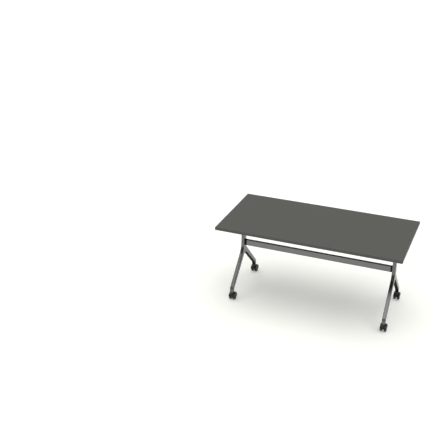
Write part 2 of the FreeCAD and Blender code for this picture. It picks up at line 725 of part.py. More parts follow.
def flip_head_blank():
    """Cast head: a foot on the post, an arm back to the pivot boss and one forward to the latch nose."""
    body = padded("flip_head", "YZ_Plane", "head_width", (
        ("post_front", "post_top"), ("post_back", "post_top"), ("pivot_back", "boss_bottom"),
        ("pivot_back", "head_top"), ("nose_front", "head_top"), ("nose_front", "nose_bottom"),
        ("nose_back", "nose_bottom"), ("nose_back", "arm_bottom"), ("gusset_front", "arm_bottom"),
    ))
    soften(body, "head_rounding", lambda edge: any(at_corner(edge, *corner) for corner in (
        ("nose_front", "head_top"), ("nose_front", "nose_bottom"), ("nose_back", "nose_bottom"),
        ("nose_back", "arm_bottom"), ("gusset_front", "arm_bottom"),
    )))
    pivot = ("-half_head", "pivot_back", "pivot_level", ALONG_X)
    boss = cylinder("pivot_boss", "boss_radius", "head_width", *pivot)
    hollows = [cylinder("boss_bore", "bush_outside", "head_width", *pivot)]
    for label, side in SIDES:
        pocket = padded(label + "_pocket", "YZ_Plane", "pocket_depth", (
            ("front_pocket_start", "pocket_top"), ("front_pocket_end", "pocket_top"),
            ("front_pocket_end", "pocket_bottom"), ("front_pocket_start", "pocket_bottom"),
        ), (
            ("rear_pocket_start", "pocket_top"), ("rear_pocket_end", "pocket_top"),
            ("rear_pocket_start", "pocket_bottom"),
        ), centred=False)
        pocket.Tip.Reversed = side > 0
        hollows.append(put(pocket, signed(side, "half_head")))
    return cut("hollowed_head", joined("solid_head", body, boss), *hollows)


def heads(head_bolt):
    """Flip heads with their bolts' bores, bushes, stop pins and rest pads."""
    blank = flip_head_blank()
    doc.recompute()
    bush = spun("bush", (
        ("bush_bore", "bush_start"), ("bush_outside", "bush_start"), ("bush_outside", "half_head"),
        ("bush_flange_radius", "half_head"), ("bush_flange_radius", "bush_end"), ("bush_bore", "bush_end"),
    ))
    pad = cylinder("rest_pad", "pad_radius", "pad_height")
    stop = cylinder("stop_pin", "stop_radius", "stop_length")
    pivot = (number("pivot_back"), number("pivot_level"))
    stop_spot = (number("stop_line"), number("stop_level"))
    bushes = []
    stops = []
    pads = []
    for label, side in SIDES:
        x = side * number("half_span")
        spot = (x, 0, 0, NO_TURN)
        bolts = copies(label + "_head_holes", head_bolt, head_bolt_spots(side))
        stops.append((x - number("ear_outside"), *stop_spot, ALONG_X))
        pin_hole = copies(label + "_stop_hole", stop, stops[-1:])
        head = copy(label + "_head_blank", blank, spot)
        node(cut(label + "_head_cut", head, bolts, pin_hole), label + "_flip_head")
        bushes += [(x, *pivot, ALONG_X), (x, *pivot, AGAINST_X)]
        pads.append((x, number("leg_center") - number("pad_front"), number("head_top"), NO_TURN))
        pads.append((x, number("leg_center") + number("pad_back"), number("head_top"), NO_TURN))
    node(copies("bush_group", bush, bushes), "pivot_bushes")
    node(copies("stop_pin_group", stop, stops), "stop_pins")
    node(copies("rest_pad_group", pad, pads), "rest_pads")


def tilt_plate_blank():
    """Pressed plate with a pair of ears at the pivot, a pair at the rod and stiffening strips between."""
    web = padded("plate_web", "XY_Plane", "plate_thickness", (
        ("-half_plate", "plate_front"), ("half_plate", "plate_front"),
        ("half_plate", "plate_end"), ("-half_plate", "plate_end"),
    ), centred=False)
    soften(web, "plate_corner", lambda edge: runs_along(edge, Z_AXIS))
    put(web, z="plate_under")
    pieces = [web]
    for label, side in SIDES:
        near, far = ("ear_inside", "ear_outside") if side > 0 else ("-ear_outside", "-ear_inside")
        for name, line, level, radius in (
                ("pivot", "pivot_back", "pivot_level", "ear_radius"),
                ("rod", "rod_line", "rod_level", "rod_ear_radius")):
            tip = "%s_%s_ear" % (label, name)
            pieces.append(cylinder(tip, radius, "ear_thickness", near, line, level, ALONG_X))
            neck_front, neck_back = name + "_ear_front", name + "_ear_back"
            pieces.append(box(tip + "_neck", (near, neck_front, level), (far, neck_back, "plate_under")))
        pieces.append(box(label + "_stiffener", (near, "rod_line", "stiffener_bottom"),
                          (far, "stiffener_back", "plate_under")))
        pieces.append(box(label + "_finger", (near, "finger_front", "finger_tip"),
                          (far, "finger_back", "pivot_level")))
    rod_hole = put(rod_bore("plate"), "-half_plate", "rod_line", "rod_level", ALONG_X)
    return cut("tilt_plate", joined("tilt_plate_blank", *pieces), rod_hole)


def tilt_plates():
    """Both plates with their holes, their screws and the pivot pins."""
    blank = tilt_plate_blank()
    screw = spun("plate_screw", (
        ("", "-screw_head"), ("screw_head_radius", "-screw_head"), ("screw_head_radius", ""),
        ("screw_radius", ""), ("screw_radius", "screw_end"), ("", "screw_end"),
    ))
    pin = spun("pivot_pin", (
        ("", "-pin_end"), ("pin_radius", "-pin_end"), ("pin_radius", "ear_outside"),
        ("pin_head_radius", "ear_outside"), ("pin_head_radius", "pin_crown"), ("", "pin_crown"),
    ))
    spots = screw_spots()
    half = len(spots) // len(SIDES)
    pins = []
    for row, (label, side) in enumerate(SIDES):
        x = side * number("half_span")
        pilot = cylinder(label + "_screw_hole", "screw_radius", "screw_end")
        holes = copies(label + "_screw_holes", pilot, spots[row * half:(row + 1) * half])
        pins.append((x, number("pivot_back"), number("pivot_level"), ALONG_X if side > 0 else AGAINST_X))
        pin_hole = copies(label + "_pin_hole", pin, pins[-1:])
        plate = copy(label + "_plate_blank", blank, (x, 0, 0, NO_TURN))
        node(cut(label + "_plate_cut", plate, holes, pin_hole), label + "_tilt_plate")
    node(copies("pin_group", pin, pins), "pivot_pins")
    node(copies("screw_group", screw, spots), "plate_screws")


def release():
    """Cross rod with its hooks, hand paddles and springs, all in the released position."""
    rod = cylinder("rod", "rod_radius", "rod_length", "-rod_end", "rod_line", "rod_level", ALONG_X)
    node(rod, "release_rod")
    shank = padded("hook_shank", "YZ_Plane", "hook_thickness", (
        ("-hook_ring", ""), ("hook_shin", "hook_sole"), ("hook_toe", "hook_sole"),
        ("tooth_tip", "tooth_edge"), ("tooth_tip", "tooth_top"), ("hook_face", "tooth_top"),
        ("hook_ring", ""),
    ))
    ring = cylinder("hook_eye", "hook_ring", "hook_thickness", "-half_hook", turn=ALONG_X)
    hook = cut("hook", joined("hook_blank", shank, ring), rod_bore("hook"))
    arm = padded("paddle_arm", "YZ_Plane", "paddle_width", (
        ("", "paddle_top"), ("paddle_crook", "paddle_top"), ("paddle_tip", "paddle_tip_top"),
        ("paddle_tip", "paddle_tip_under"), ("paddle_crook", "paddle_under"), ("", "paddle_under"),
    ))
    tip = number("paddle_tip")
    soften(arm, "paddle_corner", lambda edge: runs_along(edge, Z_AXIS)
           and abs(edge.CenterOfMass.y - tip) < TOUCH)
    clamp = cylinder("paddle_clamp", "paddle_ring", "paddle_width", "-half_paddle", turn=ALONG_X)
    paddle = cut("paddle", joined("paddle_blank", arm, clamp), rod_bore("paddle"))
    coil = spring()
    released = FreeCAD.Rotation(X_AXIS, -number("release_angle"))
    line = (number("rod_line"), number("rod_level"))
    for label, side in SIDES:
        x = side * number("half_span")
        node(copy(label + "_hook", hook, (x, *line, released)), label + "_latch_hook")
        inset = x - side * number("paddle_inset")
        node(copy(label + "_paddle", paddle, (inset, *line, NO_TURN)), label + "_release_paddle")
        beside = x - side * (number("half_hook") + number("spring_clearance"))
        turn = ALONG_X if side < 0 else AGAINST_X
        node(copy(label + "_spring", coil, (beside, *line, turn)), label + "_latch_spring")


def rod_bore(name):
    """Bore for the release rod, long enough for any piece on it."""
    return cylinder(name + "_rod_bore", "rod_bore_radius", "plate_width", "-half_plate", turn=ALONG_X)


def spring():
    """Close-wound torsion coil that lies along Z from its first turn, each turn a rounded ridge."""
    turn = spun("coil_turn", (
        ("coil_bore", ""), ("coil_valley", ""), ("coil_crest", "spring_groove"), ("coil_crest", "crest_end"),
        ("coil_valley", "spring_wire"), ("coil_bore", "spring_wire"),
    ))
    turns = []
    for row in range(int(number("spring_turns"))):
        turns.append(copy("coil_turn_%d" % row, turn, (0, 0, row * number("spring_wire"), NO_TURN)))
    return joined("coil", *turns)


def hood_blank():
    """Caster hood: a fender over both wheels on one web, with a boss for the stem and lugs for the pedal."""
    across = ("-half_hood", "trail", "wheel_radius")
    start = FreeCAD.Rotation(Z_AXIS, number("hood_start"))
    dome = cylinder("fender", "hood_outside", "hood_width", *across, ALONG_X.multiply(start))
    dome.setExpression("Angle", cell("hood_sweep"))
    boss = cylinder("stem_boss", "hood_boss", "boss_height", z="wheel_radius")
    spaces = []
    for label, side in SIDES:
        spaces.append(cylinder(label + "_wheel_space", "wheel_space", "hood_width", signed(side, "half_web"),
                               "trail", "wheel_radius", ALONG_X if side > 0 else AGAINST_X))
    shell = cut("hood_shell", joined("hood_solid", dome, boss), *spaces)
    hub = cylinder("axle_boss", "web_hub", "web_thickness", "-half_web", "trail", "wheel_radius", ALONG_X)
    lugs = []
    for label, side in SIDES:
        lugs.append(cylinder(label + "_lug", "lug_radius", "lug_thickness", signed(side, "lug_inside"),
                             "pedal_line", "pedal_level", ALONG_X if side > 0 else AGAINST_X))
    axle_hole = cylinder("axle_hole", "axle_radius", "hood_width", *across, ALONG_X)
    stem_hole = cylinder("stem_hole", "stem_radius", "stem_seat", z="stem_foot")
    pivot_hole = cylinder("pedal_hole", "pedal_hole_radius", "hood_width", "-half_hood", "pedal_line",
                          "pedal_level", ALONG_X)
    return cut("hood", joined("hood_whole", shell, hub, *lugs), axle_hole, stem_hole, pivot_hole)


def pedal_blank():
    """Brake pedal: a barrel on two trunnions with a flat tread, about its own pivot line."""
    barrel = cylinder("pedal_barrel", "pedal_barrel", "pedal_width", "-half_pedal", turn=ALONG_X)
    pin = cylinder("trunnions", "trunnion_radius", "trunnion_span", "-trunnion_end", turn=ALONG_X)
    tread = doc.addObject("Part::Box", "pedal_tread")
    tread.setExpression("Length", cell("pedal_width"))
    tread.setExpression("Width", cell("pedal_length"))
    tread.setExpression("Height", cell("pedal_thickness"))
    put(tread, "-half_pedal", turn=FreeCAD.Rotation(X_AXIS, number("pedal_rise")))
    return joined("pedal", barrel, pin, tread)


def casters():
    """Four swivelling twin-wheel casters, each in a sleeve in its leg end."""
    stem = spun("stem", (
        ("", "stem_foot"), ("stem_radius", "stem_foot"), ("stem_radius", "hood_top"),
        ("stem_collar_radius", "hood_top"), ("stem_collar_radius", "stem_collar_top"),
        ("stem_radius", "stem_collar_top"), ("stem_radius", "stem_end"), ("", "stem_end"),
    ))
    sleeve = spun("sleeve", (
        ("socket_bore", "socket_seat"), ("socket_flange_radius", "socket_seat"),
        ("socket_flange_radius", "leg_bottom"), ("socket_outside", "leg_bottom"),
        ("socket_outside", "socket_end"), ("socket_bore", "socket_end"),
    ))
    wheel = spun("wheel", (
        ("wheel_bore", ""), ("tread_edge", ""), ("wheel_radius", "tread_rounding"),
        ("wheel_radius", "tread_shoulder"), ("tread_edge", "wheel_width"), ("rim_edge", "wheel_width"),
        ("dish_edge", "dish_floor"), ("wheel_hub", "dish_floor"), ("wheel_hub", "hub_face"),
        ("wheel_bore", "hub_face"),
    ))
    axle = cylinder("axle", "axle_radius", "axle_length")
    hood = hood_blank()
    pedal = pedal_blank()
    doc.recompute()
    axle_level = number("wheel_radius")
    for end, stem_line in ENDS:
        for label, side in SIDES:
            name = "%s_%s_" % (end, label)
            x = side * number("half_span")
            y = number(stem_line)
            roll = y + number("trail")
            spot = (x, y, 0, NO_TURN)
            node(copy(name + "sleeve", sleeve, spot), name + "stem_socket")
            node(copy(name + "stem", stem, spot), name + "caster_stem")
            node(copy(name + "hood", hood, spot), name + "caster_hood")
            ends = (x - number("axle_half"), roll, axle_level, ALONG_X)
            node(copy(name + "axle", axle, ends), name + "caster_axle")
            for wheel_name, way in (("inner", -side), ("outer", side)):
                face = (x + way * number("wheel_inside"), roll, axle_level, ALONG_X if way > 0 else AGAINST_X)
                node(copy(name + wheel_name, wheel, face), name + wheel_name + "_wheel")
            hinge = (x, y + number("pedal_line"), number("pedal_level"), NO_TURN)
            node(copy(name + "pedal", pedal, hinge), name + "brake_pedal")


def check():
    """Stop before anything is written if an object failed or a shape is unsound."""
    for thing in doc.Objects:
        if "Invalid" in thing.State or "Error" in thing.State:
            raise RuntimeError("%s: %s" % (thing.Name, thing.State))
    for thing in nodes:
        if thing.Shape.isNull() or not thing.Shape.isValid() or not thing.Shape.Solids:
            raise RuntimeError("%s has no sound solid" % thing.Label)


board()
edging()
beam_bolt, head_bolt = legs_and_bolts()
beam(beam_bolt)
heads(head_bolt)
tilt_plates()
release()
casters()
doc.recompute()
check()
os.makedirs("parts", exist_ok=True)
for thing in nodes:
    thing.Shape.exportStep(os.path.join("parts", thing.Label + ".step"))
print(len(nodes), "sub-parts,", sum(len(thing.Shape.Solids) for thing in nodes), "solids")
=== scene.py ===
"""Finishes, fittings, floor, light and camera for a flip-top desk on casters, in metres."""
import json
import math

import bpy
from mathutils import Matrix, Vector


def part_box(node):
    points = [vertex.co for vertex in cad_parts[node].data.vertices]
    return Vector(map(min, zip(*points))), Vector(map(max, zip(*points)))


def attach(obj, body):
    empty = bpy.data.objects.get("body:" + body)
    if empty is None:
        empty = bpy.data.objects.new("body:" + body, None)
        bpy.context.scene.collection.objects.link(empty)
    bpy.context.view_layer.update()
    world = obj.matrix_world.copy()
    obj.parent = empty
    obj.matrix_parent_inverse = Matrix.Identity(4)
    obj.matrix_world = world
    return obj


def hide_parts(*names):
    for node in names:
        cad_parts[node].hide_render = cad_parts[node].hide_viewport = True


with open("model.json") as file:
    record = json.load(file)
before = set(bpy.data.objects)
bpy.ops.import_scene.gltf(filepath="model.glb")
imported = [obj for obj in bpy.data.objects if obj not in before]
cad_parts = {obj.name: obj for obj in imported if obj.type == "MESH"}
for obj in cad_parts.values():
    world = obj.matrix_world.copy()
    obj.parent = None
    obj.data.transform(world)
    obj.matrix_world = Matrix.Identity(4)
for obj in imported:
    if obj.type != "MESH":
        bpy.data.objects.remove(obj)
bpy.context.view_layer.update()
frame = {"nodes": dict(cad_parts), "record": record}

MM = 0.001
FULL_TURN = 2.0 * math.pi
HALF_TURN = math.pi
QUARTER_TURN = math.pi / 2.0
ALONG_X = 0
ALONG_Y = 1

SIDES = ("left", "right")
CORNERS = ("front_left", "front_right", "rear_left", "rear_right")
BODY_OF = {node: body for body, nodes in frame["record"]["behaviour"]["bodies"].items() for node in nodes}
SLOT_OF = {row["node"]: row["material_slot"] for row in frame["record"]["subparts"]}


# Shader helpers

def add_node(tree, kind, **sockets):
    """Node with the given input values; a name with underscores stands for one with spaces."""
    made = tree.nodes.new(kind)
    for name, value in sockets.items():
        made.inputs[name.replace("_", " ")].default_value = value
    return made


def link(tree, start, end):
    """Join an output socket to an input socket."""
    tree.links.new(start, end)


def blank_finish(name):
    """Material with one Principled shader; returns it with its tree, shader and Object coordinates."""
    material = bpy.data.materials.new(name)
    material.use_nodes = True
    tree = material.node_tree
    tree.nodes.clear()
    output = tree.nodes.new("ShaderNodeOutputMaterial")
    shader = tree.nodes.new("ShaderNodeBsdfPrincipled")
    link(tree, shader.outputs["BSDF"], output.inputs["Surface"])
    coords = tree.nodes.new("ShaderNodeTexCoord").outputs["Object"]
    return material, tree, shader, coords


def stretched(tree, coords, stretch):
    """Coordinates squeezed along an axis, for marks that run along a piece."""
    mapping = add_node(tree, "ShaderNodeMapping", Scale=stretch)
    link(tree, coords, mapping.inputs["Vector"])
    return mapping.outputs["Vector"]


def noise(tree, coords, scale, detail=2.0, roughness=0.5):
    """Noise value over the surface, in cells per metre."""
    made = add_node(tree, "ShaderNodeTexNoise", Scale=scale, Detail=detail, Roughness=roughness)
    link(tree, coords, made.inputs["Vector"])
    return made.outputs["Fac"]


def spread(tree, value, low, high, start=0.3, stop=0.7):
    """A value stretched to run from low to high; start and stop are where most noise begins and ends."""
    ramp = add_node(tree, "ShaderNodeMapRange", From_Min=start, From_Max=stop, To_Min=low, To_Max=high)
    link(tree, value, ramp.inputs["Value"])
    return ramp.outputs["Result"]


def mixed(tree, value, first, second):
    """Colour between two, each a colour or a socket, by a value."""
    mix = tree.nodes.new("ShaderNodeMix")
    mix.data_type = "RGBA"
    link(tree, value, mix.inputs["Factor"])
    for socket, colour in ((mix.inputs["A"], first), (mix.inputs["B"], second)):
        if isinstance(colour, tuple):
            socket.default_value = (*colour, 1.0)
        else:
            link(tree, colour, socket)
    return mix.outputs["Result"]


def bumped(tree, shader, height, depth):
    """Relief of a given depth in metres."""
    bump = add_node(tree, "ShaderNodeBump", Distance=depth, Strength=1.0)
    link(tree, height, bump.inputs["Height"])
    link(tree, bump.outputs["Normal"], shader.inputs["Normal"])


def grey(level, warmth=0.0):
    """Grey of a level, its blue lowered by a share for a warm one."""
    return (level, level, level * (1.0 - warmth))


# Finishes

GRAIN_DETAIL = 3.0
CLOUD_SCALE = 14.0
CLOUD_SHARE = 0.35


def grained(name, dark, light, rough, grain, depth, metallic=0.0, stretch=None, shine=0.5, edge=1.0):
    """Finish with cloudy colour, uneven gloss and a fine relief.

    grain is in cells per metre, stretch draws it out along a piece, shine is the gloss seen straight on and
    edge the tint of the gloss seen at a slant.
    """
    material, tree, shader, coords = blank_finish(name)
    shader.inputs["Metallic"].default_value = metallic
    shader.inputs["Specular IOR Level"].default_value = shine
    shader.inputs["Specular Tint"].default_value = (edge, edge, edge, 1.0)
    fine_coords = stretched(tree, coords, stretch) if stretch else coords
    fine = noise(tree, fine_coords, grain, detail=GRAIN_DETAIL)
    clouds = noise(tree, coords, CLOUD_SCALE)
    speck = mixed(tree, spread(tree, fine, 0.0, 1.0), dark, light)
    colour = mixed(tree, spread(tree, clouds, 0.0, CLOUD_SHARE), speck, light)
    link(tree, colour, shader.inputs["Base Color"])
    link(tree, spread(tree, fine, *rough), shader.inputs["Roughness"])
    bumped(tree, shader, fine, depth)
    return material


LAMINATE_DARK = (0.080, 0.080, 0.070)
LAMINATE_LIGHT = (0.129, 0.129, 0.112)
LAMINATE_CLOUD = (0.111, 0.111, 0.097)
LAMINATE_CLOUD_SCALE = 5.0
LAMINATE_CLOUD_SHARE = 0.25
LAMINATE_GRAIN = 340.0
LAMINATE_RELIEF = 0.10 * MM
LAMINATE_ROUGH = (0.42, 0.56)
LAMINATE_SHINE = 0.3
BACKING = (0.080, 0.080, 0.072)
FACE_SHEET = 1.0 * MM
FACE_SHEET_BLEND = 0.2 * MM


def laminate():
    """Matt dark grey laminate above, a darker backing sheet below."""
    material, tree, shader, coords = blank_finish("dark_grey_laminate")
    fine = noise(tree, coords, LAMINATE_GRAIN, detail=4.0, roughness=0.6)
    clouds = noise(tree, coords, LAMINATE_CLOUD_SCALE, detail=3.0)
    speck = mixed(tree, spread(tree, fine, 0.0, 1.0), LAMINATE_DARK, LAMINATE_LIGHT)
    face = mixed(tree, spread(tree, clouds, 0.0, LAMINATE_CLOUD_SHARE), speck, LAMINATE_CLOUD)
    split = tree.nodes.new("ShaderNodeSeparateXYZ")
    link(tree, coords, split.inputs["Vector"])
    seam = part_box("top_panel")[1].z - FACE_SHEET
    upper = spread(tree, split.outputs["Z"], 0.0, 1.0, seam - FACE_SHEET_BLEND, seam + FACE_SHEET_BLEND)
    link(tree, mixed(tree, upper, BACKING, face), shader.inputs["Base Color"])
    link(tree, spread(tree, fine, *LAMINATE_ROUGH), shader.inputs["Roughness"])
    shader.inputs["Specular IOR Level"].default_value = LAMINATE_SHINE
    bumped(tree, shader, fine, LAMINATE_RELIEF)
    return material


FINISHES = {
    "dark_laminate": laminate(),
    "dark_edging": grained(
        "edging_plastic", dark=grey(0.060, 0.07), light=grey(0.090, 0.07), rough=(0.38, 0.5),
        grain=380.0, depth=0.06 * MM),
    "satin_aluminium": grained(
        "satin_legs", dark=grey(0.131), light=grey(0.152), rough=(0.19, 0.26),
        grain=1100.0, depth=0.003 * MM, metallic=1.0, edge=0.9),
    "black_cast_aluminium": grained(
        "black_casting", dark=grey(0.010), light=grey(0.024), rough=(0.4, 0.6),
        grain=420.0, depth=0.12 * MM, shine=0.35),
    "black_coated_steel": grained(
        "black_powder_coat", dark=grey(0.010), light=grey(0.020), rough=(0.35, 0.5),
        grain=700.0, depth=0.06 * MM),
    "bright_steel": grained(
        "zinc_plate", dark=grey(0.50, 0.04), light=grey(0.545, 0.03), rough=(0.25, 0.31),
        grain=1400.0, depth=0.0004 * MM, metallic=1.0),
    "pale_bearing_plastic": grained(
        "bearing_plastic", dark=grey(0.62, 0.1), light=grey(0.72, 0.08), rough=(0.4, 0.5),
        grain=300.0, depth=0.02 * MM),
    "black_plastic": grained(
        "black_moulding", dark=grey(0.004), light=grey(0.009), rough=(0.42, 0.58),
        grain=900.0, depth=0.05 * MM, shine=0.2),
    "hood_plastic": grained(
        "hood_moulding", dark=grey(0.014), light=grey(0.022), rough=(0.22, 0.34),
        grain=900.0, depth=0.03 * MM, shine=0.45),
    "wheel_nylon": grained(
        "wheel_nylon", dark=grey(0.018), light=grey(0.028), rough=(0.20, 0.30),
        grain=600.0, depth=0.02 * MM, shine=0.5),
    "soft_rubber": grained(
        "soft_rubber", dark=grey(0.012), light=grey(0.02), rough=(0.65, 0.8),
        grain=500.0, depth=0.05 * MM, shine=0.3),
}
BEAM_FINISH = grained(
    "satin_beam", dark=grey(0.150), light=grey(0.195), rough=(0.22, 0.32),
    grain=420.0, depth=0.01 * MM, metallic=1.0, stretch=(0.02, 1.0, 1.0))
# Near-black finish for the leg strips: painted shade, which stands in for the dark reflection and shade on
# the legs' inner faces.
PAINTED_SHADE_STRIP_FINISH = grained(
    "painted_shade_strip", dark=grey(0.002), light=grey(0.005), rough=(0.5, 0.65),
    grain=900.0, depth=0.04 * MM, shine=0.08)
OWN_FINISHES = {
    "stretcher_beam": BEAM_FINISH, "left_leg_strips": PAINTED_SHADE_STRIP_FINISH, "right_leg_strips": PAINTED_SHADE_STRIP_FINISH,
}


def wear(thing, node):
    """Give an object the finish of a CAD node."""
    thing.data.materials.clear()
    thing.data.materials.append(OWN_FINISHES.get(node, FINISHES[SLOT_OF[node]]))


for node in SLOT_OF:
    wear(frame["nodes"][node], node)


# Modelling helpers; FACING is the least part of a normal that counts as facing a way

MERGE = 0.01 * MM
DOUBLED = 0.001 * MM
FLAT = math.radians(0.5)
SHARP = math.radians(40.0)
SMOOTH = math.radians(35.0)
FACING = 0.9


def only(thing):
    """Make one object the active and only selected one."""
    bpy.ops.object.select_all(action="DESELECT")
    thing.select_set(True)
    bpy.context.view_layer.objects.active = thing


def edit(thing, action="DESELECT"):
    """Edit mode on one object, with all or nothing selected."""
    only(thing)
    bpy.ops.object.mode_set(mode="EDIT")
    bpy.ops.mesh.select_mode(type="VERT")
    bpy.ops.mesh.select_all(action=action)


def leave_edit():
    """Back to object mode."""
    bpy.ops.object.mode_set(mode="OBJECT")


def pick_faces(thing, wanted):
    """In edit mode, select just the faces whose centre and normal pass a test."""
    bpy.ops.mesh.select_all(action="DESELECT")
    bpy.ops.mesh.select_mode(type="FACE")
    leave_edit()
    for face in thing.data.polygons:
        face.select = wanted(face.center, face.normal)
    bpy.ops.object.mode_set(mode="EDIT")


def clean(thing):
    """Merge doubled points and turn all faces outwards."""
    edit(thing, "SELECT")
    bpy.ops.mesh.remove_doubles(threshold=MERGE)
    bpy.ops.mesh.normals_make_consistent(inside=False)
    leave_edit()


def apply_modifier(thing, kind, **settings):
    """Add a modifier to an object and apply it."""
    only(thing)
    made = thing.modifiers.new(kind.lower(), kind)
    for name, value in settings.items():
        setattr(made, name, value)
    bpy.ops.object.modifier_apply(modifier=made.name)


def ease(thing, width, segments=2):
    """Round all sharp edges to a width, if one is given, and shade the piece smoothly."""
    if width:
        apply_modifier(thing, "BEVEL", width=width, segments=segments,
                       limit_method="ANGLE", angle_limit=SHARP)
        edit(thing, "SELECT")
        bpy.ops.mesh.remove_doubles(threshold=DOUBLED)
        leave_edit()
    only(thing)
    bpy.ops.object.shade_smooth_by_angle(angle=SMOOTH)
    apply_modifier(thing, "WEIGHTED_NORMAL", keep_sharp=True)


def settle(thing, node):
    """Put a finished piece in a CAD node's place: on its body, in its finish, and instead of it."""
    thing.name = node + "_finished"
    wear(thing, node)
    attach(thing, BODY_OF[node])
    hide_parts(node)


def node_copy(node):
    """Copy of a CAD node with its own mesh, its doubled points merged and its flat faces made whole."""
    thing = bpy.data.objects.new(node + "_copy", frame["nodes"][node].data.copy())
    bpy.context.scene.collection.objects.link(thing)
    only(thing)
    bpy.ops.mesh.customdata_custom_splitnormals_clear()
    edit(thing, "SELECT")
    bpy.ops.mesh.remove_doubles(threshold=MERGE)
    bpy.ops.mesh.dissolve_limited(angle_limit=FLAT)
    leave_edit()
    return thing


def added(operator, **sizes):
    """New primitive with its place and turn in its mesh."""
    bpy.ops.object.select_all(action="DESELECT")
    operator(**sizes)
    thing = bpy.context.object
    bpy.ops.object.transform_apply(location=True, rotation=True, scale=True)
    return thing


def turned(profile, steps, axis="X"):
    """Piece turned about X or Z from (along, radius) corners, drawn corner by corner and spun."""
    def spot(along, radius):
        return Vector((along, 0.0, radius)) if axis == "X" else Vector((radius, 0.0, along))

    thing = added(bpy.ops.mesh.primitive_plane_add, size=MM)
    edit(thing, "SELECT")
    bpy.ops.mesh.merge(type="CENTER")
    at = spot(*profile[0])
    bpy.ops.transform.translate(value=at)
    for corner in profile[1:]:
        to = spot(*corner)
        bpy.ops.mesh.extrude_vertices_move(TRANSFORM_OT_translate={"value": to - at})
        at = to
    bpy.ops.mesh.select_all(action="SELECT")
    way = (1.0, 0.0, 0.0) if axis == "X" else (0.0, 0.0, 1.0)
    bpy.ops.mesh.spin(steps=steps, angle=FULL_TURN, center=(0.0, 0.0, 0.0), axis=way)
    leave_edit()
    clean(thing)
    return thing


def cut_away(thing, cutter):
    """Take one piece's shape out of another, and the cutter away."""
    apply_modifier(thing, "BOOLEAN", operation="DIFFERENCE", object=cutter, solver="EXACT")
    bpy.data.objects.remove(cutter)


def joined(things):
    """Several objects made one."""
    bpy.ops.object.select_all(action="DESELECT")
    for thing in things:
        thing.select_set(True)
    bpy.context.view_layer.objects.active = things[0]
    bpy.ops.object.join()
    return things[0]


def placed(model, matrix):
    """Copy of a model with its own mesh, moved there."""
    thing = bpy.data.objects.new(model.name, model.data.copy())
    bpy.context.scene.collection.objects.link(thing)
    thing.data.transform(matrix)
    return thing


def settle_copies(model, places, node):
    """Copies of a model at several places, joined and put in a CAD node's place; the model goes."""
    things = [placed(model, place) for place in places]
    bpy.data.objects.remove(model)
    settle(joined(things), node)


def solids(node):
    """Boxes of the separate solids in a CAD node, in order along the desk."""
    thing = node_copy(node)
    edit(thing, "SELECT")
    bpy.ops.mesh.separate(type="LOOSE")
    leave_edit()
    boxes = []
    for part in list(bpy.context.selected_objects):
        corners = [point.co for point in part.data.vertices]
        low = Vector([min(corner[axis] for corner in corners) for axis in range(3)])
        high = Vector([max(corner[axis] for corner in corners) for axis in range(3)])
        boxes.append((low, high))
        bpy.data.objects.remove(part)
    return sorted(boxes, key=lambda box: tuple(box[0]))


# Pieces that keep the CAD shape, with their edges eased; a width of 0 leaves an edge as it is

EASED_WIDTHS = {
    "stretcher_beam": 0.0, "front_edge_band": 0.0, "rear_edge_band": 0.0, "left_edge_band": 0.0,
    "right_edge_band": 0.0, "stop_pins": 0.5 * MM, "rest_pads": 0.7 * MM, "pivot_bushes": 0.3 * MM,
    "release_rod": 0.8 * MM,
}
for side in SIDES:
    EASED_WIDTHS.update({
        side + "_column": 0.4 * MM, side + "_rear_leg": 0.4 * MM, side + "_leg_strips": 0.4 * MM,
        side + "_beam_socket": 0.6 * MM, side + "_flip_head": 1.2 * MM, side + "_tilt_plate": 0.6 * MM,
        side + "_latch_hook": 0.7 * MM,
    })
for corner in CORNERS:
    EASED_WIDTHS.update({
        corner + "_stem_socket": 0.5 * MM, corner + "_caster_stem": 0.6 * MM,
        corner + "_caster_axle": 0.5 * MM, corner + "_caster_hood": 0.7 * MM,
    })


def eased_pieces():
    """Rigid pieces with their sharp edges rounded as moulding, casting or pressing leaves them."""
    for node, width in EASED_WIDTHS.items():
        thing = node_copy(node)
        ease(thing, width)
        settle(thing, node)


# Paddles and pedals; TREAD_UPWARD and TREAD_BACKWARD are the least parts of a tread's normal

PADDLE_RIBS = 5
PADDLE_RIB_STEP = 5.0 * MM
PADDLE_RIB_START = 16.0 * MM
PADDLE_RIB_BREADTH = 2.0 * MM
PADDLE_RIB_HEIGHT = 0.8 * MM
PADDLE_EDGE = 0.35 * MM
PEDAL_RIBS = 4
PEDAL_RIB_STEP = 5.0 * MM
PEDAL_RIB_BREADTH = 1.2 * MM
PEDAL_RIB_HEIGHT = 0.5 * MM
PEDAL_EDGE = 0.3 * MM
TREAD_UPWARD = 0.8
TREAD_BACKWARD = 0.4


def ribbed(thing, axis, starts, breadth, height, wanted):
    """Raise ribs from the faces that pass a test, each starting at a place along an axis."""
    way = Vector([1.0 if row == axis else 0.0 for row in range(3)])
    edit(thing)
    for start in starts:
        for place in (start, start + breadth):
            bpy.ops.mesh.select_all(action="SELECT")
            bpy.ops.mesh.bisect(plane_co=way * place, plane_no=way)
    for start in starts:
        def on_rib(centre, normal):
            return start < centre[axis] < start + breadth and wanted(normal)

        pick_faces(thing, on_rib)
        bpy.ops.mesh.extrude_region_shrink_fatten(TRANSFORM_OT_shrink_fatten={"value": height})
    leave_edit()


def faces_down(normal):
    """True for the underside of a paddle."""
    return normal.z < -FACING


def faces_foot(normal):
    """True for the slanting top of a pedal's tread."""
    return normal.z > TREAD_UPWARD and normal.y > TREAD_BACKWARD


def paddles():
    """Release paddles with finger ribs under their ends."""
    for side in SIDES:
        node = side + "_release_paddle"
        thing = node_copy(node)
        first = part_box(node)[0].y + PADDLE_RIB_START
        starts = [first + row * PADDLE_RIB_STEP for row in range(PADDLE_RIBS)]
        ribbed(thing, ALONG_Y, starts, PADDLE_RIB_BREADTH, PADDLE_RIB_HEIGHT, faces_down)
        ease(thing, PADDLE_EDGE)
        settle(thing, node)


